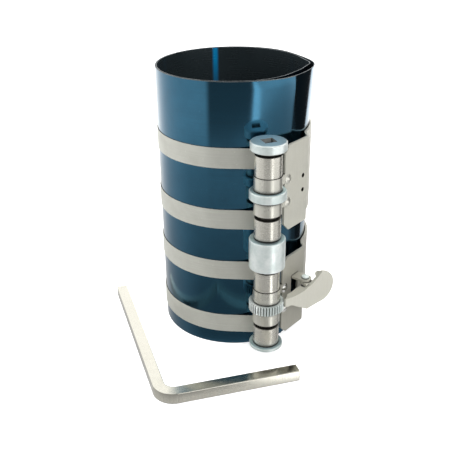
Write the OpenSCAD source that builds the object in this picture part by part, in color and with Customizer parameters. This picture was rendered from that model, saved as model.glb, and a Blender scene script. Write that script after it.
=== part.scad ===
// Piston ring compressor: a rolled spring-steel sleeve, closed by four steel straps
// that wind onto a ratchet spindle, with the loose square key that turns the spindle.
// Origin on the sleeve's axis at its lower rim, +Z up, millimetres.

/* [Sleeve] */
// Height of the rolled sleeve
sleeve_h = 165; // [150:1:200]
// Inside radius of the closed sleeve
sleeve_r = 43.15; // [41:0.05:50]
// Thickness of the sleeve sheet
sheet_t = 0.5; // [0.4:0.05:0.6]
// Gap between the rolled layers
layer_gap = 0.1; // [0.06:0.02:0.2]
// How far the outer turn is set to one side of the inner one, because the coil is loose there
coil_shift = 1; // [0.8:0.1:1.2]
// Direction in which the outer turn is set
coil_shift_a = -12; // [-16:1:-8]
// How far the sheet has risen from its inner turn halfway to its outer one
bulge = 1.1; // [0.9:0.1:1.2]
// Direction where the sheet starts to rise from its inner turn
bulge_from_a = -80; // [-84:1:-78]
// Direction where the sheet has reached its outer turn
bulge_to_a = -27; // [-30:1:-26]
// Direction of the sheet's outer end
sheet_end_a = -43; // [-50:1:-40]
// Angle from the start of the bulge to the sheet's inner end
inner_end_turn = 8; // [7:0.5:14]

/* [Straps] */
// Width of a strap
strap_w = 12; // [10:0.5:12.5]
// Thickness of a strap
strap_t = 0.45; // [0.3:0.05:0.6]
// Height of the middle of the upper pair of straps
upper_z = 103.9; // [102:0.1:110]
// Height of the middle of the lower pair of straps
lower_z = 33.6; // [32:0.1:35]
// Spacing of the two straps in a pair
strap_pitch = 37.2; // [36.6:0.1:40]
// Direction where the straps start, beneath the bracket flanges
strap_start_a = -19; // [-19:1:-5]

/* [Spindle] */
// Distance from the outer turn's surface to the spindle's axis
spindle_off = 12.93; // [12.5:0.01:14]
// Direction of the spindle from the outer turn's axis
spindle_a = -71.24; // [-72:0.01:-70.5]
// Radius of the shaft
shaft_r = 5.5; // [5.2:0.1:5.6]
// Outside radius of a wound strap
winding_r = 7.6; // [7:0.1:8]
// Radius of the sleeve bearing that a knuckle turns on
hub_r = 6.55; // [6.4:0.05:6.8]
// Radius of the drive head
head_r = 10.1; // [9:0.1:11]
// Thickness of the drive head
head_h = 5.1; // [4:0.1:7]
// Gap from the top winding to the drive head
head_gap = 2.4; // [1:0.1:4]
// Radius of the upper collar
collar_r = 10.5; // [9.5:0.1:11]
// Width of the upper collar
collar_w = 5.5; // [4:0.1:6]
// Radius of the centre collar
centre_r = 10.45; // [9:0.05:11]
// Radius of the bottom flange
flange_r = 9.95; // [9:0.05:11]
// Thickness of the bottom flange
flange_h = 2; // [1.5:0.1:4]
// Height of the collar's middle above the middle of its pair of straps
knuckle_rise = 1.3; // [1:0.1:1.4]
// Depth of the square socket
socket_depth = 15; // [10:0.5:20]
// Broken edge of a collar
edge = 0.6; // [0.3:0.1:0.8]
// Gap from the centre collar to the winding below it
centre_gap_low = 2; // [1:0.1:3]
// Gap from the centre collar to the winding above it
centre_gap_high = 0.8; // [0.5:0.1:2]
// Direction of the socket's side
socket_a = 22; // [0:1:45]

/* [Ratchet] */
// Number of ratchet teeth
teeth = 36; // [34:1:38]
// Tip radius of the ratchet wheel
wheel_r = 10.3; // [10:0.05:10.6]
// Depth of a tooth
tooth_h = 1; // [0.8:0.05:1.1]
// Flat share of a tooth's pitch at its tip
tip_share = 0.16; // [0.1:0.01:0.2]
// Width of the ratchet wheel
wheel_w = 5.5; // [4.5:0.1:6]

/* [Brackets] */
// Thickness of the bracket sheet
leaf_t = 1.4; // [1.2:0.1:1.5]
// Direction that the bracket's flat leaf faces
leaf_a = -39; // [-40:0.5:-38]
// Distance of the leaf's outer face outside the spindle's axis
leaf_off = 2.8; // [2.7:0.1:3]
// Distance from the spindle's axis to the leaf's free edge
leaf_start = 12.1; // [12:0.1:13]
// Height of a leaf
leaf_h = 51.8; // [50:0.1:53]
// Cut corner of a leaf
leaf_corner = 4.6; // [3:0.1:6]
// Where the leaf bends towards the sleeve, past the point nearest to it
bend_at = 2.8; // [2.8:0.1:5]
// Radius of the first bend, at mid-thickness
bend_1_r = 3; // [2.5:0.1:4]
// Radius of the second bend, at mid-thickness
bend_2_r = 14; // [13:0.5:16]
// Direction where the bracket flange ends
flange_end_a = 12; // [5:1:30]
// Height of a knuckle
knuckle_h = 8.2; // [7.8:0.1:8.4]
// Height of the neck that joins a knuckle to its leaf
neck_h = 5.6; // [5:0.1:6]
// Fillet where a neck meets its knuckle
neck_fillet = 2; // [1.5:0.1:2.2]
// How far the folded end of a knuckle runs behind the leaf
tail_run = 7; // [6.5:0.1:9]
// Radius of a rivet's shank
rivet_r = 1.2; // [1:0.05:1.3]
// Radius of a rivet's head
rivet_head_r = 2.9; // [2.3:0.1:3]
// Radius of a rivet's flat end behind the leaf
rivet_end_r = 2.1; // [1.8:0.1:2.3]
// Height of a rivet's head
rivet_head_h = 1.2; // [0.8:0.1:1.4]
// Distance from the leaf's free edge to the rivets
rivet_in = 2.9; // [2.7:0.1:3.2]
// How far a rivet sits below the middle of its neck
rivet_drop = 1.1; // [0.5:0.1:1.2]
// Radius of the two small holes in the upper leaf
pilot_r = 1.3; // [0.8:0.1:1.3]
// Spacing of the two small holes
pilot_pitch = 8.8; // [7:0.1:12]
// Distance from the leaf's free edge to the small holes
pilot_in = 18; // [15:0.1:18]
// How far the pair of small holes sits below the leaf's middle
pilot_drop = 0.8; // [0:0.1:2]

/* [Release lever] */
// Distance of the pivot along the leaf from the spindle's axis
pivot_u = 25; // [24.8:0.1:25.4]
// Distance of the pivot outside the spindle's axis
pivot_v = 10.5; // [10.2:0.1:11]
// Radius of the pivot pin
pin_r = 1.5; // [1.3:0.05:1.6]
// Radius of the pin's heads
pin_head_r = 2.2; // [2:0.1:2.6]
// Height of a pin head
pin_head_h = 1; // [0.8:0.1:1.5]
// Radius of the rounded end of an ear
ear_r = 3.7; // [3.5:0.1:4]
// Height of the upper ear's underside
ear_z = 43.6; // [42.8:0.1:44]
// Height of the window between the ears
window_h = 16.4; // [15:0.1:16.8]
// Thickness of the lever sheet
lever_t = 1.6; // [1.4:0.1:1.8]
// Direction of the tooth gap that takes the lever's nose, from the spindle's axis
stop_a = -12; // [-14:1:-10]
// Direction of the lever when it is in the teeth
lever_a = 30; // [28:0.5:32]
// Turn that lifts the lever from the teeth to its rest
lever_lift = 4; // [4:0.1:5]
// Height of the lever's nose
nose_h = 5.4; // [4.5:0.1:5.5]
// Height of the nose's middle above the middle of the ratchet wheel
nose_rise = 2; // [1:0.1:2.5]
// Length of the straight arm behind the nose
arm_l = 5; // [4:0.5:6]
// Radius of the sweep from the arm up to the paddle
sweep_r = 30; // [26:1:34]
// Distance from the pivot to the tip of the paddle
paddle_reach = 16.8; // [16:0.1:20]
// Height of the paddle's middle above the middle of the nose
paddle_rise = 2.6; // [2:0.1:3]
// Radius of the paddle's round end
paddle_r = 10.4; // [9.5:0.1:11]
// Radius of the lug around the pin
lug_r = 3.3; // [3:0.1:3.5]
// Wire radius of the torsion spring
wire_r = 0.4; // [0.3:0.05:0.45]
// Turns of the torsion spring
spring_turns = 6; // [4:1:7]
// Gap from the pin to the spring
spring_gap = 0.35; // [0.2:0.05:0.4]
// Gap from each end of the spring to the lug beside it
spring_end_gap = 0.6; // [0.4:0.1:1]

/* [Key] */
// Side of the square key
key_w = 6.8; // [6:0.05:7]
// Length of the key's long arm, to the corner
key_long = 122; // [90:1:150]
// Length of the key's short arm, to the corner
key_short = 80; // [60:1:100]
// Bend radius of the key at its middle line
key_bend_r = 9.2; // [6:0.1:12]
// Place of the key's corner across the front
key_x = -39.6; // [-60:0.1:-20]
// Place of the key's corner in front of the sleeve
key_y = -101.8; // [-120:0.1:-98]
// Direction of the key's short arm
key_a = 16; // [10:0.5:20]
// Angle between the key's two arms
key_angle = 92; // [90:0.5:95]

/* [Clearances] */
// Gap between pieces that lie on each other or are fixed on the shaft
fit_gap = 0.03; // [0.02:0.01:0.06]
// Radial gap where a knuckle or the lever turns
run_gap = 0.05; // [0.03:0.01:0.08]
// Gap beside a turning piece
side_gap = 0.2; // [0.15:0.05:0.3]
// How much wider the socket is than the key
key_gap = 0.2; // [0.1:0.05:0.3]
// Gap from a strap to the winding that it feeds
feed_gap = 0.3; // [0.2:0.05:0.5]
// Gap between the lever's nose and a tooth that it stops
tooth_gap = 0.15; // [0.1:0.05:0.2]
// Gap from the tip of the nose to the bottom of its tooth gap
nose_gap = 0.25; // [0.2:0.05:0.35]
// Angle by which each side of the nose is slimmer than its tooth gap
nose_relief_a = 4; // [3:0.5:5]

/* [Hidden] */
$fn = 96;
// Overlap that joins two shapes of one piece
join = 0.02;
// Angle between the points of a bent sheet's path
path_a = 2.5;
// Straight start of the sleeve's outer sheet, inside the inner turn and past its end
lead = 0.3;
// How much thinner the outer sheet is, so that its start lies inside the inner turn
lead_step = 0.04;
// Points of a neck's rounded corner, and how deep the corner's circle reaches into the knuckle
corner_steps = 6;
neck_bite = 0.85;

function dir(a) = [cos(a), sin(a)];
function turned(p, a) = [p.x * cos(a) - p.y * sin(a), p.x * sin(a) + p.y * cos(a)];
function angle_of(p) = atan2(p.y, p.x);
function square_of(p) = p * p;
// Centre of the circle through three points
function centre_of(p, q, r) =
    let (a = q - p, b = r - p, d = 2 * (a.x * b.y - a.y * b.x))
    p + [b.y * square_of(a) - a.y * square_of(b), a.x * square_of(b) - b.x * square_of(a)] / d;

// Points along an arc from angle a0 to a1, without its first point
function arc_path(c, r, a0, a1) =
    let (n = ceil(abs(a1 - a0) / path_a))
    [for (i = [1 : n]) c + r * dir(a0 + (a1 - a0) * i / n)];
// A path moved sideways by d, to the left of its direction
function beside(path, d) =
    let (last = len(path) - 1)
    [for (i = [0 : last])
        let (t = path[min(i + 1, last)] - path[max(i - 1, 0)])
        path[i] + d * [-t.y, t.x] / norm(t)];
function reversed(path) = [for (i = [len(path) - 1 : -1 : 0]) path[i]];

// Sleeve: layer middles, and the path of the sheet past its inner turn, in a frame that has
// +X at the start of the bulge
layer_pitch = sheet_t + layer_gap;
layer_1_r = sleeve_r + sheet_t / 2;
coil_c = coil_shift * dir(coil_shift_a);
coil_r = layer_1_r + layer_pitch + coil_shift;
sleeve_out_r = coil_r + sheet_t / 2;
bulge_turn = bulge_to_a - bulge_from_a;
bulge_start = [layer_1_r, 0];
bulge_top = (layer_1_r + layer_pitch / 2 + bulge) * dir(bulge_turn / 2);
bulge_end = turned(coil_c, -bulge_from_a) + coil_r * dir(bulge_turn);
bulge_c = centre_of(bulge_start, bulge_top, bulge_end);
bulge_r = norm(bulge_start - bulge_c);
bulge_a0 = angle_of(bulge_start - bulge_c);
bulge_a1 = angle_of(bulge_end - bulge_c);
sheet_path = concat(
    [bulge_start - [0, lead], bulge_start + [0, lead]],
    arc_path(bulge_c, bulge_r, bulge_a0, bulge_a1),
    arc_path(turned(coil_c, -bulge_from_a), coil_r, bulge_turn, sheet_end_a - bulge_from_a + 360)
);

// Straps
strap_z = [for (mid = [upper_z, lower_z]) for (side = [1, -1]) mid + side * strap_pitch / 2];
strap_r = sleeve_out_r + fit_gap + strap_t / 2;
spindle_rho = sleeve_out_r + spindle_off;
spindle_p = coil_c + spindle_rho * dir(spindle_a);
feed_r = winding_r + feed_gap + strap_t / 2;
feed_turn = acos((strap_r + feed_r) / spindle_rho);
feed_a = spindle_a - feed_turn;
feed_l = spindle_rho * sin(feed_turn);

// Spindle heights
head_z = strap_z[0] + strap_w / 2 + head_gap;
flange_z = strap_z[3] - strap_w / 2 - side_gap - flange_h;
collar_z = upper_z + knuckle_rise;
wheel_z = lower_z + knuckle_rise;
centre_z0 = strap_z[2] + strap_w / 2 + centre_gap_low;
centre_z1 = strap_z[1] - strap_w / 2 - centre_gap_high;
head_seat = head_h / 2;
socket_w = key_w + key_gap;

// Brackets, in a frame at the spindle's axis with +X along the leaf and +Y towards the sleeve
leaf_turn = leaf_a + 90;
sleeve_c = turned(coil_c - spindle_p, -leaf_turn);
knuckle_in = hub_r + run_gap;
knuckle_out = knuckle_in + leaf_t;
flange_mid_r = strap_r + strap_t / 2 + fit_gap + leaf_t / 2;
bend_x = sleeve_c.x + bend_at;
bend_1_c = [bend_x, -leaf_off + leaf_t / 2 + bend_1_r];
bend_1_from = bend_1_c - sleeve_c;
bend_2_from = flange_mid_r + bend_2_r;
bend_span = bend_1_r + bend_2_r;
bend_cos = (square_of(bend_1_from) + bend_2_from ^ 2 - bend_span ^ 2) / (2 * norm(bend_1_from) * bend_2_from);
bend_2_a = angle_of(bend_1_from) + acos(bend_cos);
bend_2_c = sleeve_c + bend_2_from * dir(bend_2_a);
bend_1_a = angle_of(bend_2_c - bend_1_c);
rivet_x = leaf_start + rivet_in;
tail_end = leaf_start + tail_run;
leaf_mid_y = -leaf_off + leaf_t / 2;
bracket_path = concat(
    [[leaf_start, leaf_mid_y], [bend_x, leaf_mid_y]],
    arc_path(bend_1_c, bend_1_r, -90, bend_1_a),
    arc_path(bend_2_c, bend_2_r, bend_1_a + 180, bend_2_a + 180),
    arc_path(sleeve_c, flange_mid_r, bend_2_a, flange_end_a - leaf_turn)
);

// Release lever, in a frame at its pivot with +X along the lever and +Y towards the leaf
pivot_p = spindle_p + turned([pivot_u, -pivot_v], leaf_turn);
tooth_a = 360 / teeth;
root_r = wheel_r - tooth_h;
wheel_from_pivot = turned(spindle_p - pivot_p, -lever_a);
nose_p = wheel_from_pivot + (root_r + nose_gap) * dir(stop_a - lever_a);
flank_a = angle_of(wheel_r * dir(tooth_a * (1 - tip_share) / 2) - [root_r, 0]);
wedge_a = flank_a - nose_relief_a;
// Share of the lever's thickness that lies inside the tip of its nose
nose_share = 0.4;
web_y = nose_p.y + lever_t * nose_share;
nose_z = wheel_z + nose_rise;
lug_top = ear_z - side_gap;
lug_bottom = ear_z - window_h + side_gap;
paddle_p = [paddle_reach - paddle_r, nose_z + paddle_rise];
spring_r = pin_r + spring_gap + wire_r;
spring_z0 = lug_bottom + lever_t + spring_end_gap;
spring_z1 = lug_top - lever_t - spring_end_gap;

// Key
key_fold = 180 - key_angle;
key_set = key_bend_r * tan(key_fold / 2);
key_path = concat(
    [[key_short, 0], [key_set, 0]],
    arc_path([key_set, key_bend_r], key_bend_r, -90, -90 - key_fold),
    [key_long * dir(key_angle)]
);

// A strip of sheet bent along an arc, standing on its edge
module bent_sheet(r, t, a0, a1, z0, h) {
    rotate([0, 0, a0])
        rotate_extrude(angle = a1 - a0)
            translate([r - t / 2, z0])
                square([t, h]);
}

// A strip of sheet along a path, standing on its edge
module sheet_strip(path, t, h) {
    linear_extrude(h)
        polygon(concat(beside(path, t / 2), reversed(beside(path, -t / 2))));
}

module tube(r_out, r_in, z0, z1) {
    translate([0, 0, z0])
        difference() {
            cylinder(r = r_out, h = z1 - z0);
            translate([0, 0, -1])
                cylinder(r = r_in, h = z1 - z0 + 2);
        }
}

// A ring with both outer edges broken
module collar_ring(r, r_in, z0, z1) {
    rotate_extrude()
        polygon([
            [r_in, z0], [r - edge, z0], [r, z0 + edge],
            [r, z1 - edge], [r - edge, z1], [r_in, z1]
        ]);
}

module at_spindle() {
    translate(spindle_p)
        children();
}

module at_leaf() {
    translate(spindle_p)
        rotate([0, 0, leaf_turn])
            children();
}

module at_lever() {
    translate(pivot_p)
        rotate([0, 0, lever_a + lever_lift])
            children();
}

// Sheet rolled a little over two turns: a round inner turn, then the rise over its own end
// and the outer turn with the loose end
module sleeve() {
    color([0.16, 0.38, 0.52])
        rotate([0, 0, bulge_from_a])
            union() {
                bent_sheet(layer_1_r, sheet_t, inner_end_turn - 360, 0, 0, sleeve_h);
                sheet_strip(sheet_path, sheet_t - lead_step, sleeve_h);
            }
}

// Strap round the sleeve, with the straight run that feeds its winding
module strap(i) {
    color([0.78, 0.77, 0.74])
        translate([coil_c.x, coil_c.y, strap_z[i] - strap_w / 2])
            rotate([0, 0, feed_a])
                union() {
                    bent_sheet(strap_r, strap_t, 0, strap_start_a - feed_a - 360, 0, strap_w);
                    translate([strap_r - strap_t / 2, 0, 0])
                        cube([strap_t, feed_l, strap_w]);
                }
}

// Turns of a strap wound on the shaft
module strap_winding(i) {
    z0 = strap_z[i] - strap_w / 2;
    color([0.76, 0.75, 0.71])
        at_spindle()
            tube(winding_r, shaft_r + fit_gap, z0, z0 + strap_w);
}

module socket_cut(z_top) {
    rotate([0, 0, socket_a])
        translate([-socket_w / 2, -socket_w / 2, z_top - socket_depth])
            cube([socket_w, socket_w, socket_depth + 1]);
}

module spindle_shaft() {
    color([0.6, 0.6, 0.58])
        at_spindle()
            difference() {
                translate([0, 0, flange_z])
                    cylinder(r = shaft_r, h = head_z + head_seat - flange_z);
                socket_cut(head_z + head_h);
            }
}

module drive_head() {
    color([0.8, 0.86, 0.86])
        at_spindle()
            difference() {
                collar_ring(head_r, 0, head_z, head_z + head_h);
                translate([0, 0, head_z - 1])
                    cylinder(r = shaft_r + fit_gap, h = head_seat + fit_gap + 1);
                socket_cut(head_z + head_h);
            }
}

// Ring between two knuckles, with the bearing that both knuckles turn on
module upper_collar() {
    z0 = collar_z - collar_w / 2;
    z1 = collar_z + collar_w / 2;
    reach = side_gap + knuckle_h;
    color([0.82, 0.88, 0.87])
        at_spindle()
            union() {
                collar_ring(collar_r, shaft_r + fit_gap, z0, z1);
                tube(hub_r, shaft_r + fit_gap, z0 - reach, z1 + reach);
            }
}

module centre_collar() {
    color([0.82, 0.88, 0.87])
        at_spindle()
            collar_ring(centre_r, shaft_r + fit_gap, centre_z0, centre_z1);
}

// Teeth with straight flanks and a narrow flat tip, one gap facing the lever's nose
module ratchet_profile() {
    polygon([
        for (i = [0 : teeth - 1])
            for (p = [[root_r, 0], [wheel_r, (1 - tip_share) / 2], [wheel_r, (1 + tip_share) / 2]])
                p[0] * dir(stop_a + (i + p[1]) * tooth_a)
    ]);
}

module ratchet_wheel() {
    z0 = wheel_z - wheel_w / 2;
    z1 = wheel_z + wheel_w / 2;
    reach = side_gap + knuckle_h;
    color([0.82, 0.88, 0.87])
        at_spindle()
            difference() {
                union() {
                    translate([0, 0, z0])
                        linear_extrude(wheel_w)
                            ratchet_profile();
                    translate([0, 0, z0 - reach])
                        cylinder(r = hub_r, h = wheel_w + 2 * reach);
                }
                translate([0, 0, z0 - reach - 1])
                    cylinder(r = shaft_r + fit_gap, h = wheel_w + 2 * reach + 2);
            }
}

module bottom_flange() {
    color([0.82, 0.88, 0.87])
        at_spindle()
            collar_ring(flange_r, shaft_r + fit_gap, flange_z, flange_z + flange_h);
}

// Concave corner between a knuckle and one face of its neck, from the knuckle to the face
function neck_corner(face_y, side) =
    let (
        y = face_y + side * neck_fillet,
        c = [sqrt((knuckle_out + neck_bite * neck_fillet) ^ 2 - y ^ 2), y],
        a0 = angle_of(-c)
    )
    [for (i = [0 : corner_steps]) c + neck_fillet * dir(a0 - (a0 + side * 90) * i / corner_steps)];

// Loop round the spindle, closed by a neck of two sheets at its lower end
module knuckle(z0) {
    back_y = -leaf_off + 2 * leaf_t;
    difference() {
        union() {
            translate([0, 0, z0])
                cylinder(r = knuckle_out, h = knuckle_h);
            translate([0, 0, z0])
                linear_extrude(neck_h)
                    polygon(concat(
                        [[0, 0]], neck_corner(-leaf_off, -1),
                        [[tail_end, -leaf_off], [tail_end, back_y]], reversed(neck_corner(back_y, 1))
                    ));
        }
        translate([0, 0, z0 - 1])
            cylinder(r = knuckle_in, h = knuckle_h + 2);
    }
}

// One cut corner at the leaf's free edge, above (side 1) or below (side -1) its middle
module corner_cut(mid_z, side) {
    z = mid_z + side * (leaf_h / 2 + 1);
    translate([leaf_start - 1, 0, z])
        rotate([90, 0, 0])
            linear_extrude(4 * leaf_t, center = true)
                polygon([[-1, 1] * side, [leaf_corner + 2, 0], [0, -side * (leaf_corner + 2)]]);
}

// Lower ends of the two knuckles beside a ring, and the heights of their rivets
function knuckle_bases(ring_z, ring_w) =
    [ring_z - ring_w / 2 - side_gap - knuckle_h, ring_z + ring_w / 2 + side_gap];
function rivet_heights(ring_z, ring_w) =
    [for (z0 = knuckle_bases(ring_z, ring_w)) z0 + neck_h / 2 - rivet_drop];

// Leaf, two bends, flange on the straps, and two knuckles beside a ring on the spindle
module bracket_body(mid_z, ring_z, ring_w) {
    difference() {
        union() {
            translate([0, 0, mid_z - leaf_h / 2])
                sheet_strip(bracket_path, leaf_t, leaf_h);
            for (z0 = knuckle_bases(ring_z, ring_w))
                knuckle(z0);
        }
        for (side = [-1, 1])
            corner_cut(mid_z, side);
        for (z = rivet_heights(ring_z, ring_w))
            translate([rivet_x, 0, z])
                rotate([90, 0, 0])
                    cylinder(r = rivet_r + fit_gap, h = 4 * leaf_t, center = true);
    }
}

module upper_bracket() {
    color([0.79, 0.78, 0.74])
        at_leaf()
            difference() {
                bracket_body(upper_z, collar_z, collar_w);
                for (side = [-1, 1])
                    translate([leaf_start + pilot_in, -leaf_off, upper_z - pilot_drop + side * pilot_pitch / 2])
                        rotate([90, 0, 0])
                            cylinder(r = pilot_r, h = 4 * leaf_t, center = true);
            }
}

// Ear bent out of the leaf's window, with the hole for the lever's pin
module ear(z0) {
    translate([pivot_u, 0, z0])
        linear_extrude(leaf_t)
            difference() {
                union() {
                    translate([-ear_r, -pivot_v])
                        square([2 * ear_r, pivot_v - leaf_off + leaf_t]);
                    translate([0, -pivot_v])
                        circle(r = ear_r);
                }
                translate([0, -pivot_v])
                    circle(r = pin_r + fit_gap);
            }
}

module lower_bracket() {
    color([0.77, 0.76, 0.72])
        at_leaf()
            union() {
                difference() {
                    bracket_body(lower_z, wheel_z, wheel_w);
                    translate([pivot_u - ear_r, -leaf_off - 1, ear_z - window_h])
                        cube([2 * ear_r, leaf_t + 2, window_h]);
                }
                ear(ear_z);
                ear(ear_z - window_h - leaf_t);
            }
}

// Shank with a domed head on the leaf's face and a flat one behind the folded end
module bracket_rivets(ring_z, ring_w) {
    dome_r = (rivet_head_r ^ 2 + rivet_head_h ^ 2) / (2 * rivet_head_h);
    grip = 2 * leaf_t + 2 * fit_gap;
    at_leaf()
        for (z = rivet_heights(ring_z, ring_w))
            translate([rivet_x, -leaf_off - fit_gap, z])
                rotate([90, 0, 0])
                    union() {
                        intersection() {
                            translate([0, 0, rivet_head_h - dome_r])
                                sphere(r = dome_r);
                            cylinder(r = rivet_head_r + 1, h = rivet_head_h + 1);
                        }
                        translate([0, 0, -grip])
                            cylinder(r = rivet_r, h = grip + join);
                        translate([0, 0, -grip - rivet_head_h / 2])
                            cylinder(r = rivet_end_r, h = rivet_head_h / 2);
                    }
}

module upper_bracket_rivets() {
    color([0.8, 0.8, 0.76])
        bracket_rivets(collar_z, collar_w);
}

module lower_bracket_rivets() {
    color([0.85, 0.86, 0.88])
        bracket_rivets(wheel_z, wheel_w);
}

// Side view of the lever: nose, arm that widens in one sweep, round paddle
module lever_outline() {
    nose_z0 = nose_z - nose_h / 2;
    nose_z1 = nose_z + nose_h / 2;
    arm_x = nose_p.x + arm_l;
    difference() {
        union() {
            translate([nose_p.x - 1, nose_z0])
                square([paddle_p.x - nose_p.x + 1, nose_h]);
            polygon([
                [arm_x, nose_z0], [arm_x, nose_z1],
                paddle_p + [0, paddle_r], paddle_p - [0, paddle_r],
                [-lug_r, lug_bottom]
            ]);
            translate(paddle_p)
                circle(r = paddle_r);
        }
        translate([arm_x, nose_z1 + sweep_r])
            circle(r = sweep_r);
    }
}

// What the wheel takes from the lever's end, seen from above: all but a wedge in one tooth gap
module nose_relief() {
    wedge_l = 3 * tooth_h;
    difference() {
        translate(wheel_from_pivot)
            circle(r = wheel_r + tooth_gap);
        translate(nose_p)
            polygon([for (side = [0, -1, 1]) abs(side) * wedge_l * dir(stop_a - lever_a + side * wedge_a)]);
    }
}

module lever_lug(z0) {
    translate([0, 0, z0])
        linear_extrude(lever_t)
            difference() {
                union() {
                    circle(r = lug_r);
                    translate([-lug_r, web_y - join])
                        square([2 * lug_r, -web_y + join]);
                }
                circle(r = pin_r + run_gap);
            }
}

// Paddle sheet with two lugs folded in round the pin
module release_lever() {
    color([0.79, 0.78, 0.74])
        at_lever()
            union() {
                difference() {
                    translate([0, web_y, 0])
                        rotate([90, 0, 0])
                            linear_extrude(lever_t)
                                lever_outline();
                    translate([0, 0, nose_z - nose_h])
                        linear_extrude(2 * nose_h)
                            nose_relief();
                }
                lever_lug(lug_top - lever_t);
                lever_lug(lug_bottom);
            }
}

module lever_pin() {
    z0 = ear_z - window_h - leaf_t - fit_gap;
    z1 = ear_z + leaf_t + fit_gap;
    color([0.75, 0.77, 0.77])
        translate(pivot_p)
            union() {
                translate([0, 0, z0 - pin_head_h])
                    cylinder(r = pin_head_r, h = pin_head_h);
                translate([0, 0, z0 - join])
                    cylinder(r = pin_r, h = z1 - z0 + 2 * join);
                translate([0, 0, z1])
                    cylinder(r = pin_head_r, h = pin_head_h);
            }
}

// Coil of round wire, as one swept tube
module lever_spring() {
    sides = 8;
    turn_a = 30;
    steps = spring_turns * 360 / turn_a;
    rise = (spring_z1 - spring_z0 - 2 * wire_r) / steps;
    points = [
        for (i = [0 : steps])
            for (k = [0 : sides - 1])
                let (
                    section = wire_r * dir(k * 360 / sides),
                    z = spring_z0 + wire_r + i * rise + section.y
                )
                concat((spring_r + section.x) * dir(i * turn_a), [z])
    ];
    walls = [
        for (i = [0 : steps - 1])
            for (k = [0 : sides - 1])
                let (p = i * sides + k, q = i * sides + (k + 1) % sides)
                [p, p + sides, q + sides, q]
    ];
    first_end = [for (k = [0 : sides - 1]) k];
    last_end = [for (k = [sides - 1 : -1 : 0]) steps * sides + k];
    color([0.5, 0.5, 0.5])
        translate(pivot_p)
            polyhedron(points, concat(walls, [first_end, last_end]));
}

// Square bar bent to an L, lying on the surface that the sleeve stands on
module square_key() {
    color([0.8, 0.79, 0.72])
        translate([key_x, key_y, 0])
            rotate([0, 0, key_a])
                sheet_strip(key_path, key_w, key_w);
}

sleeve();
strap(0);  // strap_1
strap(1);  // strap_2
strap(2);  // strap_3
strap(3);  // strap_4
strap_winding(0);  // strap_winding_1
strap_winding(1);  // strap_winding_2
strap_winding(2);  // strap_winding_3
strap_winding(3);  // strap_winding_4
spindle_shaft();
drive_head();
upper_collar();
centre_collar();
ratchet_wheel();
bottom_flange();
upper_bracket();
lower_bracket();
upper_bracket_rivets();
lower_bracket_rivets();
release_lever();
lever_pin();
lever_spring();
square_key();
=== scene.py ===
import math

import bmesh
import bpy
from mathutils import Matrix, Vector


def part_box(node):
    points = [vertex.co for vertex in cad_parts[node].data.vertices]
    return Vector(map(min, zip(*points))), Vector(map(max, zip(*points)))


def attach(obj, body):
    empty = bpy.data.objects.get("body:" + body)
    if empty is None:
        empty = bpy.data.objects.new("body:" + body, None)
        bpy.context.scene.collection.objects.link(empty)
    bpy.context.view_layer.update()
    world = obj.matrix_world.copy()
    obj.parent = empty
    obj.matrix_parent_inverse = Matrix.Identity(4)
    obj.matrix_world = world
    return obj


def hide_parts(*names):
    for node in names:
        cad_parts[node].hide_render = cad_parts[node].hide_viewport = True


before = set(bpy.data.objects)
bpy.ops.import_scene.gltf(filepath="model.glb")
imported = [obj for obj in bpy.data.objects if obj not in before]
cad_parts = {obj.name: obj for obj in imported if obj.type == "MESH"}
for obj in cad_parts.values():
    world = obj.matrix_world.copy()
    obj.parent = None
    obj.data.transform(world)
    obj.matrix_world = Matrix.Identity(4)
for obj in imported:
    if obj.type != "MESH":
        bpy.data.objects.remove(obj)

for leftover in ("Cube", "Light", "Camera"):
    if leftover in bpy.data.objects:
        bpy.data.objects.remove(bpy.data.objects[leftover])
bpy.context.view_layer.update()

MM = 0.001
TAU = 2 * math.pi


def middle(node):
    """Middle of a CAD node's box."""
    low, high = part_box(node)
    return (low + high) / 2


def reach(node):
    """Half the width of a CAD node along X: the radius of a round one."""
    low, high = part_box(node)
    return (high.x - low.x) / 2


def direction(turn):
    """Level unit vector at a compass angle in radians."""
    return Vector((math.cos(turn), math.sin(turn)))


def crosswise(way):
    """A level vector turned by a quarter to the left."""
    return Vector((-way.y, way.x))


# Spindle, and the rings on it
SPINDLE = middle("spindle_shaft").to_2d()
SHAFT_R = reach("spindle_shaft")
SOCKET_REACH = 5.2 * MM
RING_GAP = 0.03 * MM
RING_STEPS = 144

# Brackets: how far a knuckle reaches from the spindle, the leaf's direction, and the upper one's pilot holes
KNUCKLE_REACH = 11 * MM
LEAF_WAY = direction(math.radians(51))
LEAF_ACROSS = crosswise(LEAF_WAY)
PILOT_ALONG = 30.1 * MM
PILOT_DROP = 0.8 * MM
PILOT_MIDDLE = middle("upper_bracket").z - PILOT_DROP
PILOT_PITCH = 8.8 * MM
PILOT_R = 1.3 * MM
PILOT_EDGE = 0.3 * MM

# Sleeve: the sheet's two turns, where it rises from one to the other, and its ends
SLEEVE_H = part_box("sleeve")[1].z
SHEET_T = 0.5 * MM
SHEET_CORNER = 0.12 * MM
BORE_R = 43.15 * MM
INNER_R = BORE_R + SHEET_T / 2
LAYER_PITCH = 0.6 * MM
COIL_SHIFT = 1.0 * MM
COIL_TURN = math.radians(-12)
COIL_R = INNER_R + LAYER_PITCH + COIL_SHIFT
COIL = direction(COIL_TURN) * COIL_SHIFT
RISE_FROM = math.radians(-88)
RISE_TO = math.radians(-62)
INNER_END = math.radians(-72)
OUTER_END = math.radians(-43)
SETTLED = math.radians(-25)
END_LEAN = math.radians(5)
SLEEVE_STEPS = 640
SLEEVE_LEVELS = 36
SLEEVE_SHARP = 50

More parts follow.
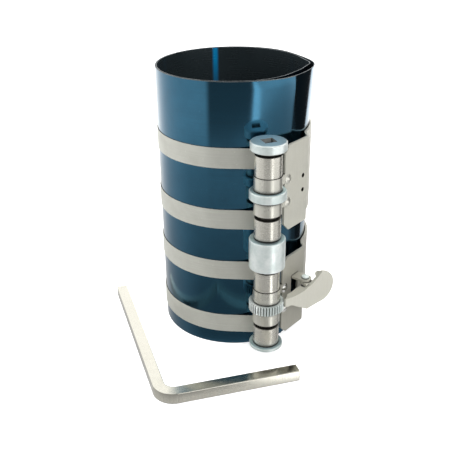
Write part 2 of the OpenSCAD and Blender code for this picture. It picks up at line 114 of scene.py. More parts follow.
# Above the top strap the coil springs open, in smooth bumps: (mm, compass angle and half width in degrees)
FLARE_FROM = 129 * MM
OUTER_FLARE = ((2.5, -48, 22), (1.6, -12, 16), (-1.3, 26, 18))
SIDE_BULGE = ((1.0, -1, 13),)
INNER_BOW = ((0.6, -66, 12), (-0.9, -35, 11), (2.3, -3, 9))
# Powers by which the flare grows with height, and the bulge with the flare
FLARE_GROWTH = 0.8
BULGE_GROWTH = 0.5

# Straps
STRAP_T = 0.45 * MM
STRAP_GAP = 0.03 * MM
STRAP_CORNER = 0.14 * MM
STRAP_START = math.radians(-19)
STRAP_R = COIL_R + SHEET_T / 2 + STRAP_GAP + STRAP_T / 2
STRAP_STEPS = 200
FEED_GAP = 0.3 * MM
FEED_R = reach("strap_winding_1") + FEED_GAP + STRAP_T / 2
FEED_STEPS = 8

# Lever at rest, in a frame at its pin: its direction, its plate, and the sweep of its upper edge
PIVOT = middle("lever_pin").to_2d()
LEVER_TURN = math.radians(34)
PLATE_INSIDE = -4.81 * MM
SWEEP_AT = (-15.1 * MM, 69.6 * MM)
SWEEP_R = 30 * MM
SWEEP_END = 7.3 * MM
# The fold along that edge: where it starts, its thickness and corners, and its seat in the plate
LIP_START = -18.2 * MM
LIP_T = 0.9 * MM
LIP_CORNER = 0.3 * MM
LIP_DROP = 0.15 * MM
LIP_SINK = 0.5 * MM
LIP_STEPS = 40
# Its depth behind the plate: (place along the lever, depth)
LIP_DEPTHS = [(x * MM, depth * MM) for x, depth in (
    (-18.2, 0.3), (-14.5, 3.2), (-7, 4.2), (-4.6, 4.2), (-4.1, 0.5), (4.1, 0.5), (5.4, 2.8), (7.3, 2.2),
)]

# Camera, fitted to the photograph's viewpoint
CAMERA_PLACE = (0, -414.29 * MM, 259.36 * MM)
CAMERA_PITCH = math.radians(25.70)
CAMERA_YAW = math.radians(-0.65)
CAMERA_ROLL = math.radians(-0.75)
SENSOR = 36
LENS = 56.94


# Materials
class Tree:
    """A short way to add and link shader nodes."""

    def __init__(self, owner):
        owner.use_nodes = True
        self.nodes = owner.node_tree.nodes
        self.links = owner.node_tree.links
        self.nodes.clear()

    def add(self, kind, values=None, **settings):
        """A new node with its inputs set or linked."""
        node = self.nodes.new("ShaderNode" + kind)
        for name, value in settings.items():
            setattr(node, name, value)
        for key, value in (values or {}).items():
            self.put(node.inputs[key], value)
        return node

    def put(self, socket, value):
        """Links an output to an input, or sets the input's value."""
        if isinstance(value, bpy.types.NodeSocket):
            self.links.new(value, socket)
        else:
            socket.default_value = value

    def end(self, kind, surface):
        """The output node, linked to the last shader."""
        self.links.new(surface.outputs[0], self.add(kind).inputs[0])

    def math(self, operation, a, b=0.0, c=0.0):
        return self.add("Math", {0: a, 1: b, 2: c}, operation=operation).outputs[0]

    def blend(self, factor, a, b):
        """Colour a changed to colour b by factor."""
        return self.add("Mix", {0: factor, 6: a, 7: b}, data_type="RGBA").outputs[2]

    def mixed(self, factor, a, b):
        """Value a changed to value b by factor."""
        return self.add("Mix", {0: factor, 2: a, 3: b}, data_type="FLOAT").outputs[0]

    def scaled(self, value, low, high, to_low, to_high):
        """The range low to high mapped to another, and held at its ends."""
        keys = {0: value, 1: low, 2: high, 3: to_low, 4: to_high}
        return self.add("MapRange", keys).outputs[0]

    def place(self):
        return self.add("TexCoord").outputs["Object"]

    def stretched(self, vector, scale, rotation=(0, 0, 0)):
        keys = {"Vector": vector, "Rotation": rotation, "Scale": scale}
        return self.add("Mapping", keys).outputs[0]

    def noise(self, vector, scale, detail, rough):
        keys = {"Vector": vector, "Scale": scale, "Detail": detail, "Roughness": rough}
        return self.add("TexNoise", keys).outputs[0]


def colour(red, green, blue):
    """A colour written in sRGB 0 to 255, as the linear value that a shader takes."""
    parts = [part / 255 for part in (red, green, blue)]
    return tuple([p / 12.92 if p <= 0.04045 else ((p + 0.055) / 1.055) ** 2.4 for p in parts]) + (1.0,)


# Noise stretch of the finishes along three axes, or along the turn and height of a rolled one
ROLLED = (40, 2600, 1)
BRUSHED = (2200, 2200, 60)
PLAIN = (500, 500, 500)
# Metres of rolled grain to a radian of turn
ROUND_STEP = 0.02

# Wear: scale, detail and roughness of each noise, and the lie of the scratches
CLOUDS = (90, 5, 0.6)
GRAIN = (1, 3, 0.5)
PITS = (2600, 2, 0.5)
SPECKS = (900, 1, 0.3)
SCRATCHES = (1, 2, 0.4)
SCRATCH_TURN = (0.5, 0.7, 0.9)
SCRATCH_STRETCH = (60, 3200, 900)
# The part of each noise's range that counts
CLOUD_RANGE = (0.35, 0.7)
EVEN_RANGE = (0.3, 0.7)
SPECK_RANGE = (0.74, 0.78)
SCRATCH_RANGE = (0.73, 0.78)
# How much grain dulls the colour, and how scratches and specks brighten it: share, gain and lift
GRAIN_SHADE = 0.35
WORN_SHARE = 0.5
WORN_GAIN = 1.35
WORN_LIFT = 0.04
# How the roughness varies with clouds, as factors, and with grain
CLOUD_ROUGH = (0.8, 1.25)
GRAIN_ROUGH = 0.03
# Bump: relative depths, and the whole
PIT_DEPTH = 0.02
SCRATCH_DEPTH = 0.04
BUMP_STRENGTH = 0.35
BUMP_DISTANCE = 0.04 * MM
# A clear film's roughness, and the turn of the tangent that smears reflections upwards
FILM_ROUGH = 0.12
SMEAR_TURN = 0.25

# Painted shade in seams, darker where neighbours are near: how near a neighbour counts, and how open a place
# is where it is full and where it ends
SEAM = (1.3 * MM, 0.42, 0.84)
WIDE_SEAM = (3 * MM, 0.68, 0.9)
# Colour of the painted shade in seams
SEAM_SHADE = colour(34, 32, 28)
SEAM_SHADE_FULL = 0.97
SEAM_SHADE_ROUGH = 0.7
SEAM_SHADE_SAMPLES = 8

# Painted reflection streak inside the sleeve: its place round the axis, where it fades at its sides and with
# height
STREAK_AT = math.radians(103.3) * ROUND_STEP
STREAK_SIDES = (0.4 * MM, 1.1 * MM)
STREAK_HEIGHTS = (128 * MM, 158 * MM)
STREAK_BARE = 0.15


def round_axis(tree, axis):
    """Place as (distance along the turn, height, 0) about a vertical axis, for rolled grain."""
    centre = (axis[0], axis[1], 0)
    offset = tree.add("VectorMath", {0: tree.place(), 1: centre}, operation="SUBTRACT").outputs[0]
    parts = tree.add("SeparateXYZ", {0: offset}).outputs
    turn = tree.math("ARCTAN2", parts[1], parts[0])
    return tree.add("CombineXYZ", {0: tree.math("MULTIPLY", turn, ROUND_STEP), 1: parts[2]}).outputs[0]


def painted_reflection_streak(tree, flow):
    """1 on an upright painted reflection streak at one place round the axis, which comes in towards the top.
    """
    parts = tree.add("SeparateXYZ", {0: flow}).outputs
    across = tree.math("ABSOLUTE", tree.math("SUBTRACT", parts[0], STREAK_AT))
    beside = tree.scaled(across, *STREAK_SIDES, 1.0, 0.0)
    risen = tree.scaled(parts[1], *STREAK_HEIGHTS, 0.0, 1.0)
    return tree.math("MULTIPLY", beside, risen)


def metal(
    name, base, dull, rough, grain, axis=None, spin=0.0, patches=0.25, depth=0.25, specks=0.5, bare=1.0,
    oil=0.0, streak=None, seam=SEAM,
):
    """A worn metal: cloudy colour, fine grain, scratches, specks, and painted shade in the seams.

    base and dull are the colours that it varies between, rough its middle roughness, and grain the noise
    stretch along the three axes, taken about a vertical axis where one is given. spin makes the grain smear
    reflections upwards, bare is how metallic it is and oil the weight of a clear film on it.
    streak is the colour of a painted reflection streak, and seam says where painted shade lies."""
    material = bpy.data.materials.new(name)
    tree = Tree(material)
    place = tree.place()
    flow = round_axis(tree, axis) if axis else place
    cloud = tree.noise(place, *CLOUDS)
    fine = tree.noise(tree.stretched(flow, grain), *GRAIN)
    pits = tree.noise(place, *PITS)
    scratch = tree.noise(tree.stretched(place, SCRATCH_STRETCH, SCRATCH_TURN), *SCRATCHES)
    scratch = tree.scaled(scratch, *SCRATCH_RANGE, 0.0, specks * 2)
    speck = tree.scaled(tree.noise(place, *SPECKS), *SPECK_RANGE, 0.0, specks)

    tint = tree.blend(tree.scaled(cloud, *CLOUD_RANGE, 0.0, patches * 2), base, dull)
    tint = tree.blend(tree.scaled(fine, *EVEN_RANGE, 0.0, GRAIN_SHADE), tint, dull)
    worn = tree.math("MULTIPLY", tree.math("ADD", scratch, speck), WORN_SHARE)
    light = tuple(min(1.0, part * WORN_GAIN + WORN_LIFT) for part in base[:3]) + (1.0,)
    tint = tree.blend(worn, tint, light)
    # Painted reflection: a bright upright streak blended into the colour, made less metallic so that it
    # shows
    if streak:
        streak_mask = painted_reflection_streak(tree, flow)
        tint = tree.blend(streak_mask, tint, streak)
        bare = tree.mixed(streak_mask, bare, STREAK_BARE)
    # Painted shade in seams: the colour darkens where neighbouring surfaces are near, and the roughness
    # rises
    span, full, clear = seam
    open_sky = tree.add("AmbientOcclusion", {"Distance": span}, samples=SEAM_SHADE_SAMPLES).outputs["AO"]
    seam_shade = tree.scaled(open_sky, full, clear, SEAM_SHADE_FULL, 0.0)
    tint = tree.blend(seam_shade, tint, SEAM_SHADE)

    smooth, matt = [rough * factor for factor in CLOUD_ROUGH]
    roughness = tree.scaled(cloud, *EVEN_RANGE, smooth, matt)
    roughness = tree.math("ADD", roughness, tree.scaled(fine, *EVEN_RANGE, -GRAIN_ROUGH, GRAIN_ROUGH))
    roughness = tree.mixed(seam_shade, roughness, SEAM_SHADE_ROUGH)

    height = tree.math("ADD", tree.math("MULTIPLY", fine, depth), tree.math("MULTIPLY", pits, PIT_DEPTH))
    height = tree.math("SUBTRACT", height, tree.math("MULTIPLY", scratch, SCRATCH_DEPTH))
    bump = tree.add("Bump", {"Height": height, "Strength": BUMP_STRENGTH, "Distance": BUMP_DISTANCE})

    surface = tree.add("BsdfPrincipled", {
        "Base Color": tint, "Metallic": bare, "Roughness": roughness, "Normal": bump.outputs[0],
    })
    if oil:
        tree.put(surface.inputs["Coat Weight"], oil)
        tree.put(surface.inputs["Coat Roughness"], FILM_ROUGH)
    if spin:
        tree.put(surface.inputs["Anisotropic"], spin)
        tree.put(surface.inputs["Anisotropic Rotation"], SMEAR_TURN)
        tangent = tree.add("Tangent", direction_type="RADIAL", axis="Z").outputs[0]
        tree.put(surface.inputs["Tangent"], tangent)
    tree.end("OutputMaterial", surface)
    return material


blued = metal(
    "blued_steel", colour(44, 104, 132), colour(38, 92, 118), 0.09, ROLLED, (0, 0),
    spin=0.75, patches=0.3, depth=0.15, oil=0.6,
)
# The inside of the sleeve: a darker, greyer copy of the blued steel as painted shade, with a blue painted
# reflection streak
blued_inside_shaded = metal(
    "blued_steel_inside_painted_shade", colour(48, 58, 62), colour(38, 45, 48), 0.24, ROLLED, (0, 0),
    spin=0.75, bare=0.5, streak=colour(0, 120, 172),
)
cut_edge = metal("cut_steel_edge", colour(122, 128, 130), colour(80, 88, 92), 0.34, PLAIN)
strap_steel = metal(
    "strap_steel", colour(214, 215, 206), colour(188, 188, 178), 0.44, ROLLED, (0, 0),
    spin=0.4, patches=0.15, depth=0.12, bare=0.72,
)
winding_steel = metal(
    "winding_steel", colour(232, 230, 220), colour(200, 196, 184), 0.25, ROLLED, SPINDLE,
    patches=0.15, depth=0.02, specks=0.08, bare=0.85, seam=WIDE_SEAM,
)
nickel = metal(
    "nickel_plate", colour(230, 229, 219), colour(212, 210, 198), 0.3, BRUSHED,
    patches=0.1, depth=0.08, bare=0.88, seam=WIDE_SEAM,
)
satin = metal(
    "satin_nickel", colour(212, 211, 200), colour(196, 194, 181), 0.42, BRUSHED,
    patches=0.12, depth=0.08, bare=0.5,
)
# A darker copy of the satin nickel for the lower bracket, as painted shade
satin_shaded = metal(
    "satin_nickel_painted_shade", colour(190, 188, 177), colour(172, 170, 158), 0.4, BRUSHED,
    patches=0.2, depth=0.08, bare=0.55,
)
zinc = metal(
    "zinc_plate", colour(246, 251, 249), colour(198, 212, 209), 0.34, PLAIN,
    patches=0.45, specks=0.9, bare=0.62,
)
# Zinc for upward faces: turned grain and more mirror-like, with a bluer tint that is painted reflection
zinc_turned_reflection_tint = metal(
    "zinc_turned_reflection_tint", colour(222, 242, 246), colour(190, 220, 226), 0.36, ROLLED, SPINDLE,
    patches=0.3, bare=0.85,
)
rivet_steel = metal("rivet_steel", colour(232, 232, 228), colour(204, 204, 200), 0.13, PLAIN, depth=0.05)
# The shaft's steel, darkened as painted shade: it shows only in the gaps between the rings
plain_steel = metal("plain_steel", colour(96, 94, 90), colour(66, 64, 60), 0.4, ROLLED, SPINDLE)
socket_steel = metal("socket_steel", colour(150, 154, 152), colour(104, 108, 108), 0.45, PLAIN, bare=0.4)
# Near black, painted as shade on the pilot holes' walls and the collars' lower edges
painted_shade_black = metal("painted_shade_black", colour(22, 21, 20), colour(14, 13, 12), 0.6, PLAIN, bare=0.3)
spring_wire = metal("spring_wire", colour(150, 150, 150), colour(100, 98, 96), 0.3, PLAIN)
key_steel = metal(
    "key_steel", colour(228, 226, 214), colour(204, 200, 186), 0.15, BRUSHED, patches=0.12, depth=0.1,
)


# Pieces
def add_piece(name, shape, finish, body, nodes, sharp=35):
    """A new piece of the object, in place of CAD nodes, riding on their body.

    finish is its materials, and edges that turn by more than sharp degrees stay sharp."""
    mesh = bpy.data.meshes.new(name)
    shape.to_mesh(mesh)
    shape.free()
    for material in finish:
        mesh.materials.append(material)
    for face in mesh.polygons:
        face.use_smooth = True
    mesh.set_sharp_from_angle(angle=math.radians(sharp))
    piece = bpy.data.objects.new(name, mesh)
    bpy.context.scene.collection.objects.link(piece)
    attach(piece, body)
    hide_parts(*nodes)
    even = piece.modifiers.new("even_normals", "WEIGHTED_NORMAL")
    even.keep_sharp = True


def paint(shape, where):
    """Gives each face the finish whose number a test tells."""
    for face in shape.faces:
        face.material_index = int(where(face))


def grid_faces(shape, rows, closed=False):
    """Faces between rows of points, each row a closed outline.

    The last row joins the first where the grid is closed, and otherwise both get an end face."""
    rings = [[shape.verts.new(point) for point in row] for row in rows]
    followers = rings[1:] + rings[:1] if closed else rings[1:]
    for ring, following in zip(rings, followers):
        for k in range(len(ring)):
            m = (k + 1) % len(ring)
            shape.faces.new((ring[k], ring[m], following[m], following[k]))
    if not closed:
        shape.faces.new(rings[0])
        shape.faces.new(rings[-1])


# The most of a side that a rounded corner takes
CORNER_SHARE = 0.45


def rounded(points, radius, steps=3):
    """A closed outline with each corner rounded, where points are (x, y) or (x, y, corner radius)."""
    out = []
    for i, point in enumerate(points):
        here = Vector(point[:2])
        size = point[2] if len(point) > 2 else radius
        before = Vector(points[i - 1][:2]) - here
        after = Vector(points[(i + 1) % len(points)][:2]) - here
        if size <= 0:
            out.append(here)
            continue
        cut = min(size, CORNER_SHARE * before.length, CORNER_SHARE * after.length)
        start, end = here + before.normalized() * cut, here + after.normalized() * cut
        for k in range(steps + 1):
            t = k / steps
            out.append((1 - t) ** 2 * start + 2 * t * (1 - t) * here + t ** 2 * end)
    return out


def box_outline(x0, x1, y0, y1, corner):
    """A rectangle with rounded corners."""
    return rounded([(x0, y0), (x1, y0), (x1, y1), (x0, y1)], corner)


def smooth_step(t):
    """0 to 1, with a soft start and end."""
    t = max(0.0, min(1.0, t))
    return t * t * (3 - 2 * t)


# Which finish a face has, by how far its normal points up, out of the sleeve, or across a leaf
UPWARD = 0.95
UNDERSIDE = -0.45
SOCKET_DOWN = -0.5
SHEET_OUT = 0.8
EDGE_TILT = 0.4
LEAF_FACE = 0.97


def faces_up(face):
    return face.normal.z > UPWARD


def from_spindle(face):
    """A face's distance from the spindle's axis."""
    return (face.calc_center_median().to_2d() - SPINDLE).length


def sleeve_finish(face):
    """The sleeve's finish on a face: 0 outside, 1 inside, painted darker as shade, 2 a cut edge or an end.
    """
    out = face.calc_center_median().to_2d().normalized()
    facing = face.normal.to_2d().dot(out)
    if abs(facing) <= SHEET_OUT or abs(face.normal.z) > EDGE_TILT or len(face.verts) > 4:
        return 2
    return 0 if facing > 0 else 1


def collar_finish(face):
    """A collar's finish on a face: 0 the rim, 1 the top, with a tint of painted reflection, 2 the lower
    edge, painted dark as shade.
    """
    return 2 if face.normal.z < UNDERSIDE else int(faces_up(face))


def head_finish(face):
    """The drive head's finish on a face: 0 the rim, 1 the top, with a tint of painted reflection, 2 the
    socket.
    """
    if faces_up(face):
        return 1
    return 2 if from_spindle(face) < SOCKET_REACH and face.normal.z > SOCKET_DOWN else 0


def on_knuckle(face):
    """Whether a face is on a knuckle, which is more polished than the leaf behind it."""
    return from_spindle(face) < KNUCKLE_REACH


def upper_leaf(face):
    """The upper bracket's finish on a face: 0 the leaf, 1 a knuckle, 2 a pilot hole's wall, painted dark as
    shade.
    """
    if on_knuckle(face):
        return 1
    centre = face.calc_center_median()
    along = (centre.to_2d() - SPINDLE).dot(LEAF_WAY)
    rise = abs(centre.z - PILOT_MIDDLE) - PILOT_PITCH / 2
    beside = Vector((along - PILOT_ALONG, rise)).length < PILOT_R + PILOT_EDGE
    return 2 if beside and abs(face.normal.to_2d().dot(LEAF_ACROSS)) < LEAF_FACE else 0


# Shapes
def bumps(turn, terms):
    """Sum of smooth bumps at a compass angle, in metres."""
    degrees = (math.degrees(turn) + 180) % 360 - 180
    return sum(high * math.exp(-(((degrees - at) / width) ** 2)) for high, at, width in terms) * MM


def sleeve_radius(turn, z):
    """Radius of the middle of the rolled sheet.

    turn runs from the inner end through two turns to the loose end."""
    opened = max(0.0, (z - FLARE_FROM) / (SLEEVE_H - FLARE_FROM)) ** FLARE_GROWTH
    lean = turn - COIL_TURN
    outer = COIL_SHIFT * math.cos(lean) + math.sqrt(COIL_R ** 2 - (COIL_SHIFT * math.sin(lean)) ** 2)
    outer += opened * bumps(turn, OUTER_FLARE) + opened ** BULGE_GROWTH * bumps(turn, SIDE_BULGE)
    if turn < RISE_FROM + TAU:
        return INNER_R + opened * bumps(turn, INNER_BOW)
    if turn > OUTER_END + TAU:
        settle = smooth_step((turn - TAU - OUTER_END) / (SETTLED - OUTER_END))
        return outer - LAYER_PITCH * (1 - settle)
    rise = smooth_step((turn - TAU - RISE_FROM) / (RISE_TO - RISE_FROM))
    return INNER_R + (outer - LAYER_PITCH - INNER_R) * rise


def make_sleeve():
    """The rolled sheet: blued faces outside, darker faces inside that are painted shade, bare cut edges."""
    shape = bmesh.new()
    start, end = INNER_END, OUTER_END + 2 * TAU
    edge = SHEET_CORNER
    heights = [0, edge]
    heights += [edge + (SLEEVE_H - 2 * edge) * i / SLEEVE_LEVELS for i in range(1, SLEEVE_LEVELS)]
    heights += [SLEEVE_H - edge, SLEEVE_H]
    rows = []
    for i in range(SLEEVE_STEPS + 1):
        row = []
        for side, order in ((1, heights), (-1, heights[::-1])):
            for z in order:
                rim = edge if z in (0, SLEEVE_H) else 0
                lean = END_LEAN * (1 - z / SLEEVE_H)
                turn = start + (end - lean - start) * i / SLEEVE_STEPS
                r = sleeve_radius(turn, z) + side * (SHEET_T / 2 - rim)
                row.append((r * math.cos(turn), r * math.sin(turn), z))
        rows.append(row)
    grid_faces(shape, rows)
    bmesh.ops.recalc_face_normals(shape, faces=shape.faces)
    paint(shape, sleeve_finish)
    finish = [blued, blued_inside_shaded, cut_edge]
    add_piece("rolled_sleeve", shape, finish, "sleeve_assembly", ["sleeve"], SLEEVE_SHARP)


def make_strap(number):
    """A flat strap round the sleeve that leaves it at a tangent towards its winding."""
    node = f"strap_{number}"
    low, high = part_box(node)
    across = SPINDLE - COIL
    lean = math.acos((STRAP_R + FEED_R) / across.length)
    feed = math.atan2(across.y, across.x) - lean
    length = across.length * math.sin(lean)
    around = feed + TAU - STRAP_START
    path = []
    for i in range(STRAP_STEPS + 1):
        out = direction(STRAP_START - TAU + around * i / STRAP_STEPS)
        path.append((COIL + out * STRAP_R, out))
    normal = direction(feed)
    along = crosswise(normal)
    for i in range(1, FEED_STEPS + 1):
        path.append((COIL + normal * STRAP_R + along * length * i / FEED_STEPS, normal))
    section = box_outline(-STRAP_T / 2, STRAP_T / 2, low.z, high.z, STRAP_CORNER)
    shape = bmesh.new()
    grid_faces(shape, [[tuple(p + n * s.x) + (s.y,) for s in section] for p, n in path])
    bmesh.ops.recalc_face_normals(shape, faces=shape.faces)
    add_piece(f"strap_band_{number}", shape, [strap_steel], "sleeve_assembly", [node])


def make_ring(node, finish, corner, name, others=(), where=None):
    """A turned ring or tube on the shaft, from its CAD node's box. others and where are as in dressed."""
    low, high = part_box(node)
    r = reach(node)
    inner = SHAFT_R + RING_GAP
    profile = rounded([(inner, low.z, 0), (r, low.z), (r, high.z), (inner, high.z, 0)], corner)
    rows = []
    for i in range(RING_STEPS):
        a = TAU * i / RING_STEPS
        rows.append([(SPINDLE[0] + p.x * math.cos(a), SPINDLE[1] + p.x * math.sin(a), p.y) for p in profile])
    shape = bmesh.new()
    grid_faces(shape, rows, closed=True)
    bmesh.ops.recalc_face_normals(shape, faces=shape.faces)
    if where:
        paint(shape, where)
    add_piece(name, shape, [finish, *others], "spindle", [node])


# Clean-up of a CAD mesh: points this near are one, and edges by their turn are flat or get rounded
WELD = 0.002 * MM
FLAT_TURN = math.radians(0.4)
ROUNDED_TURN = math.radians(32)


def dressed(node, finish, body, width, others=(), where=None, extra=None):
    """A CAD node's own shape with its sharp edges rounded.

    others are further finishes, where tells which of all its finishes a face has, and extra is a function
    that adds to the shape."""
    shape = bmesh.new()
    shape.from_mesh(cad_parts[node].data)
    bmesh.ops.remove_doubles(shape, verts=shape.verts, dist=WELD)
    bmesh.ops.dissolve_limit(shape, angle_limit=FLAT_TURN, verts=shape.verts, edges=shape.edges)
    edges = [e for e in shape.edges if len(e.link_faces) == 2 and e.calc_face_angle(0) > ROUNDED_TURN]
    bmesh.ops.bevel(
        shape, geom=edges, offset=width, offset_type="OFFSET", segments=2, profile=0.6,
        affect="EDGES", clamp_overlap=True,
    )
    if where:
        paint(shape, where)
    if extra:
        extra(shape)
    add_piece(node + "_finished", shape, [finish, *others], body, [node])


def lip_depth(x):
    """How deep the lever's fold is at a place along the lever, from its seat in the plate."""
    depth = LIP_SINK
    for (x0, depth0), (x1, depth1) in zip(LIP_DEPTHS, LIP_DEPTHS[1:]):
        if x0 <= x <= x1:
            depth += depth0 + (depth1 - depth0) * smooth_step((x - x0) / (x1 - x0))
    return depth


def lever_lip(shape):
    """The lever sheet's upper edge, folded in behind the plate: wide over the arm, narrow past the pin."""
    along = direction(LEVER_TURN)
    inwards = crosswise(along)
    rows = []
    for i in range(LIP_STEPS + 1):
        x = LIP_START + (SWEEP_END - LIP_START) * i / LIP_STEPS
        angle = math.asin(max(0.0, x - SWEEP_AT[0]) / SWEEP_R)
        z = SWEEP_AT[1] - SWEEP_R * math.cos(angle)
        row = []
        for s in box_outline(0, lip_depth(x), LIP_DROP, LIP_DROP + LIP_T, LIP_CORNER):
            place = PIVOT + along * (x + math.sin(angle) * s.y) + inwards * (PLATE_INSIDE - LIP_SINK + s.x)
            row.append((place.x, place.y, z - math.cos(angle) * s.y))
        rows.append(row)
    before = set(shape.faces)
    grid_faces(shape, rows)
    bmesh.ops.recalc_face_normals(shape, faces=[face for face in shape.faces if face not in before])


make_sleeve()
for number in range(1, 5):
    make_strap(number)
    make_ring(f"strap_winding_{number}", winding_steel, 0.18 * MM, f"wound_strap_{number}")
make_ring(
    "centre_collar", zinc, 0.8 * MM, "centre_ring",
    others=[zinc_turned_reflection_tint, painted_shade_black], where=collar_finish,
)
make_ring(
    "bottom_flange", zinc, 0.4 * MM, "bottom_ring", others=[zinc_turned_reflection_tint], where=faces_up,
)
dressed(
    "upper_collar", zinc, "spindle", 0.3 * MM,
    others=[zinc_turned_reflection_tint, painted_shade_black], where=collar_finish,
)
dressed(
    "drive_head", zinc, "spindle", 0.3 * MM,
    others=[zinc_turned_reflection_tint, socket_steel], where=head_finish,
)
dressed("ratchet_wheel", zinc, "spindle", 0.1 * MM)
dressed(
    "upper_bracket", satin, "sleeve_assembly", 0.22 * MM,
    others=[nickel, painted_shade_black], where=upper_leaf,
)
dressed(
    "lower_bracket", satin_shaded, "sleeve_assembly", 0.22 * MM,
    others=[nickel], where=on_knuckle,
)
dressed("release_lever", satin, "lever", 0.3 * MM, extra=lever_lip)
dressed("square_key", key_steel, "key", 0.45 * MM)
dressed("lever_pin", zinc, "sleeve_assembly", 0.2 * MM)

# CAD nodes that keep their own shape
CAD_FINISH = {
    "spindle_shaft": plain_steel,
    "upper_bracket_rivets": nickel,
    "lower_bracket_rivets": rivet_steel,
    "lever_spring": spring_wire,
}
for node, finish in CAD_FINISH.items():
    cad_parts[node].material_slots[0].material = finish


# Stage: floor, studio surroundings, lamps and camera
WHITE = (1, 1, 1, 1)
FLOOR_SIZE = 8
FLOOR_DROP = 0.2 * MM
FLOOR_GREY = (0.8, 0.8, 0.8, 1)
FLOOR_GLOW = 0.66


def make_floor():
    """A white sheet that keeps a soft shadow; polished metal shows the studio instead of it."""
    bpy.ops.mesh.primitive_plane_add(size=FLOOR_SIZE, location=(0, 0, -FLOOR_DROP))
    floor = bpy.context.object
    floor.name = "floor"
    material = bpy.data.materials.new("white_floor")
    tree = Tree(material)
    seen = tree.add("LightPath").outputs["Is Camera Ray"]
    paper = tree.add("BsdfDiffuse", {"Color": FLOOR_GREY})
    glow = tree.add("Emission", {"Color": WHITE, "Strength": tree.math("MULTIPLY", seen, FLOOR_GLOW)})
    both = tree.add("AddShader", {0: paper.outputs[0], 1: glow.outputs[0]})
    tree.end("OutputMaterial", both)
    floor.data.materials.append(material)
    floor.visible_glossy = False


# Studio walls that polished metal mirrors: compass angle in degrees from +X, then brightness of four belts,
# from the uppermost to the one next to the ground
STUDIO = [
    (-180, 0.8, 1.0, 0.75, 0.38), (-160, 0.5, 0.96, 0.6, 0.27), (-146, 0.4, 0.96, 0.58, 0.19),
    (-131, 0.4, 0.92, 0.56, 0.18), (-124, 0.4, 0.17, 0.55, 0.17), (-71, 0.4, 0.17, 0.52, 0.15),
    (-64, 0.4, 1.1, 0.62, 0.12), (-50, 0.4, 1.3, 0.62, 0.22), (7, 0.6, 1.3, 0.62, 0.32),
    (11, 0.8, 1.5, 0.06, 0.12), (24.5, 1.0, 2.0, 0.06, 0.12), (27.3, 1.2, 2.0, 1.0, 0.55),
    (60, 1.3, 1.8, 0.95, 0.55), (100, 1.3, 1.5, 0.95, 0.55), (125, 1.3, 1.4, 1.0, 0.5),
    (150, 1.2, 1.1, 0.85, 0.42), (180, 0.8, 1.0, 0.75, 0.38),
]
# The most that a wall can have
STUDIO_TOP = 3.0
# Climbs in degrees between which one belt gives way to the next: foot and top of each change
UPPER_CHANGE = (14, 30)
EYE_CHANGE = (-20.5, -18)
GROUND_CHANGE = (-32, -20.5)
# The ground and the zenith, with the climbs between which they give way to the walls
GROUND_EDGE = (-39, -36.5)
GROUND_LEVEL = 0.62
ZENITH_EDGE = (48, 70)
ZENITH_LEVEL = 0.6
# A black flag and a bright strip among the walls: compass angle of each edge at one climb, and its lean.
# The edges are soft over a degree to each side
FLAG = ((8, -0.9), (51.5, 0.6))
FLAG_LEVEL = 0.03
STRIP = ((-69, -0.6), (-65.2, -1.4))
STRIP_LEVEL = 2.3
PANEL_CLIMB = -14
PANEL_SOFT = 1
# What the eye and matt surfaces see instead
SEEN_LEVEL = 1.0
MATT_LEVEL = 0.5


def compass_ramp(tree, turn, column):
    """Brightness of one belt of the studio walls by compass angle."""
    ramp = tree.add("ValToRGB", {0: tree.scaled(turn, -180, 180, 0.0, 1.0)})
    stops = ramp.color_ramp.elements
    while len(stops) > 1:
        stops.remove(stops[-1])
    for i, wall in enumerate(STUDIO):
        where = (wall[0] + 180) / 360
        stop = stops[0] if i == 0 else stops.new(where)
        stop.position = where
        grey = wall[column] / STUDIO_TOP
        stop.color = (grey, grey, grey, 1)
    return tree.math("MULTIPLY", ramp.outputs[0], STUDIO_TOP)


def leaning_panel(tree, turn, climb, edges):
    """1 between two edges of a studio panel that lean from the upright."""
    inside = []
    for (start, lean), way in zip(edges, (1, -1)):
        edge = tree.math("MULTIPLY_ADD", climb, lean, start - lean * PANEL_CLIMB)
        past = tree.math("MULTIPLY", tree.math("SUBTRACT", turn, edge), way)
        inside.append(tree.scaled(past, -PANEL_SOFT, PANEL_SOFT, 0.0, 1.0))
    return tree.math("MULTIPLY", *inside)


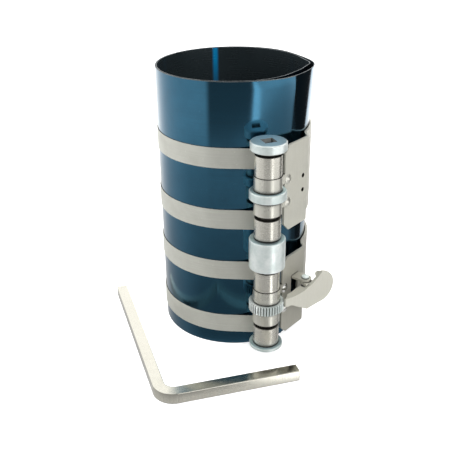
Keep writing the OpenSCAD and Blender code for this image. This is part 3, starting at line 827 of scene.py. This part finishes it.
def make_world():
    """White to the eye and soft to matt surfaces; a studio with dark and bright walls to polished ones."""
    world = bpy.data.worlds.new("studio")
    bpy.context.scene.world = world
    tree = Tree(world)
    parts = tree.add("SeparateXYZ", {0: tree.add("TexCoord").outputs["Generated"]}).outputs
    turn = tree.math("DEGREES", tree.math("ARCTAN2", parts[1], parts[0]))
    climb = tree.math("DEGREES", tree.math("ARCSINE", parts[2]))
    above, ahead, below, ground = [compass_ramp(tree, turn, column) for column in range(1, 5)]
    walls = tree.mixed(tree.scaled(climb, *EYE_CHANGE, 0.0, 1.0), below, ahead)
    walls = tree.mixed(tree.scaled(climb, *GROUND_CHANGE, 1.0, 0.0), walls, ground)
    walls = tree.mixed(leaning_panel(tree, turn, climb, STRIP), walls, STRIP_LEVEL)
    walls = tree.mixed(leaning_panel(tree, turn, climb, FLAG), walls, FLAG_LEVEL)
    walls = tree.mixed(tree.scaled(climb, *GROUND_EDGE, 1.0, 0.0), walls, GROUND_LEVEL)
    level = tree.mixed(tree.scaled(climb, *UPPER_CHANGE, 0.0, 1.0), walls, above)
    level = tree.mixed(tree.scaled(climb, *ZENITH_EDGE, 0.0, 1.0), level, ZENITH_LEVEL)
    path = tree.add("LightPath").outputs
    level = tree.mixed(path["Is Camera Ray"], level, SEEN_LEVEL)
    level = tree.mixed(path["Is Diffuse Ray"], level, MATT_LEVEL)
    sky = tree.add("Background", {"Color": WHITE, "Strength": level})
    tree.end("OutputWorld", sky)


# Soft boxes: name, compass angle and climb in degrees, distance, width and height in metres, and watts
LAMPS = (
    ("front_box", -61, 38, 1.1, 0.5, 0.9, 9),
    ("left_box", 165, 35, 1.3, 0.8, 0.8, 10),
    ("top_box", 100, 75, 1.3, 0.9, 0.9, 10),
)


def make_lamp(name, compass, climb, distance, width, height, power):
    """A soft box that faces the middle of the object, and that polished metal doesn't mirror."""
    lamp = bpy.data.lights.new(name, "AREA")
    lamp.shape = "RECTANGLE"
    lamp.size = width
    lamp.size_y = height
    lamp.energy = power
    a, e = math.radians(compass), math.radians(climb)
    way = Vector((math.cos(a) * math.cos(e), math.sin(a) * math.cos(e), math.sin(e)))
    holder = bpy.data.objects.new(name, lamp)
    holder.location = way * distance + Vector((0, 0, SLEEVE_H / 2))
    holder.rotation_euler = way.to_track_quat("Z", "Y").to_euler()
    holder.visible_glossy = False
    bpy.context.scene.collection.objects.link(holder)


def make_camera():
    """The camera, turned by its yaw, pitch and roll."""
    pitch, yaw, roll = CAMERA_PITCH, CAMERA_YAW, CAMERA_ROLL
    ahead = Vector((math.sin(yaw) * math.cos(pitch), math.cos(yaw) * math.cos(pitch), -math.sin(pitch)))
    right = ahead.cross(Vector((0, 0, 1))).normalized()
    up = right.cross(ahead)
    right, up = (
        right * math.cos(roll) + up * math.sin(roll),
        up * math.cos(roll) - right * math.sin(roll),
    )
    data = bpy.data.cameras.new("camera")
    data.sensor_fit = "HORIZONTAL"
    data.sensor_width = SENSOR
    data.lens = LENS
    camera = bpy.data.objects.new("camera", data)
    turn = Matrix((right, up, -ahead)).transposed().to_4x4()
    camera.matrix_world = Matrix.Translation(CAMERA_PLACE) @ turn
    bpy.context.scene.collection.objects.link(camera)
    bpy.context.scene.camera = camera


make_floor()
make_world()
for lamp in LAMPS:
    make_lamp(*lamp)
make_camera()
bpy.context.scene.view_settings.view_transform = "Standard"
